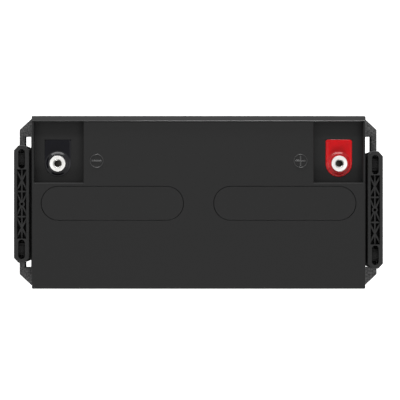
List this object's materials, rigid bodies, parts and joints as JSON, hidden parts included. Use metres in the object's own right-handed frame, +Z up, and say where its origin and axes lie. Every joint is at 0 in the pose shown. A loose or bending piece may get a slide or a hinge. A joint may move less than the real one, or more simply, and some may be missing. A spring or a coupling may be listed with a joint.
{
  "type": "ups battery",
  "caption": "Sealed stand-by battery: a black drafted case with a lid, threaded terminals in corner bays, flush vent covers, and ribbed lifting grips hung on bands at both ends.",
  "frame": {"origin": "on the floor, under the middle of the battery's box", "axes": "+X along the length towards the positive terminal, +Y to the rear where the terminals stand, +Z up"},
  "size_m": [0.367, 0.171, 0.22],
  "materials": {
    "case_plastic": "fine sparked texture",
    "cover_plastic": "fine sparked texture",
    "epoxy": "cured adhesive",
    "rubber": "moulded",
    "terminal_metal": "tin plated, turned",
    "black_resin": "poured resin",
    "red_resin": "poured resin",
    "glass_mat": "felted glass fibre",
    "positive_paste": "pasted lead grid",
    "lead": "cast lead",
    "grip_plastic": "satin moulded",
    "band_plastic": "flexible moulded"
  },
  "bodies": {
    "case": {"container": "case_plastic", "sealing_bead": "epoxy", "lid": "case_plastic", "vent_cover_left": "cover_plastic", "vent_cover_right": "cover_plastic", "valve_cap_1": "rubber", "valve_cap_2": "rubber", "valve_cap_3": "rubber", "valve_cap_4": "rubber", "valve_cap_5": "rubber", "valve_cap_6": "rubber", "terminal_negative": "terminal_metal", "terminal_seal_negative": "black_resin", "seal_ring_negative": "rubber", "post_negative": "lead", "terminal_positive": "terminal_metal", "terminal_seal_positive": "red_resin", "seal_ring_positive": "rubber", "post_positive": "lead", "separator_1": "glass_mat", "positive_plates_1": "positive_paste", "negative_plates_1": "lead", "separator_2": "glass_mat", "positive_plates_2": "positive_paste", "negative_plates_2": "lead", "separator_3": "glass_mat", "positive_plates_3": "positive_paste", "negative_plates_3": "lead", "separator_4": "glass_mat", "positive_plates_4": "positive_paste", "negative_plates_4": "lead", "separator_5": "glass_mat", "positive_plates_5": "positive_paste", "negative_plates_5": "lead", "separator_6": "glass_mat", "positive_plates_6": "positive_paste", "negative_plates_6": "lead", "cell_weld_1": "lead", "cell_weld_2": "lead", "cell_weld_3": "lead", "cell_weld_4": "lead", "cell_weld_5": "lead"},
    "left_bands": {"band_left_front": "band_plastic", "band_left_rear": "band_plastic"},
    "left_grip": {"grip_left": "grip_plastic"},
    "right_bands": {"band_right_front": "band_plastic", "band_right_rear": "band_plastic"},
    "right_grip": {"grip_right": "grip_plastic"}
  },
  "joints": [
    {"name": "left_handle_lift", "type": "slide", "parent": "case", "child": "left_bands", "axis": [0, 0, 1], "range_m": [0, 0.0217]},
    {"name": "left_grip_shift", "type": "slide", "parent": "left_bands", "child": "left_grip", "axis": [0, 1, 0], "range_m": [-0.0015, 0.0015]},
    {"name": "right_handle_lift", "type": "slide", "parent": "case", "child": "right_bands", "axis": [0, 0, 1], "range_m": [0, 0.0217]},
    {"name": "right_grip_shift", "type": "slide", "parent": "right_bands", "child": "right_grip", "axis": [0, 1, 0], "range_m": [-0.0015, 0.0015]}
  ]
}
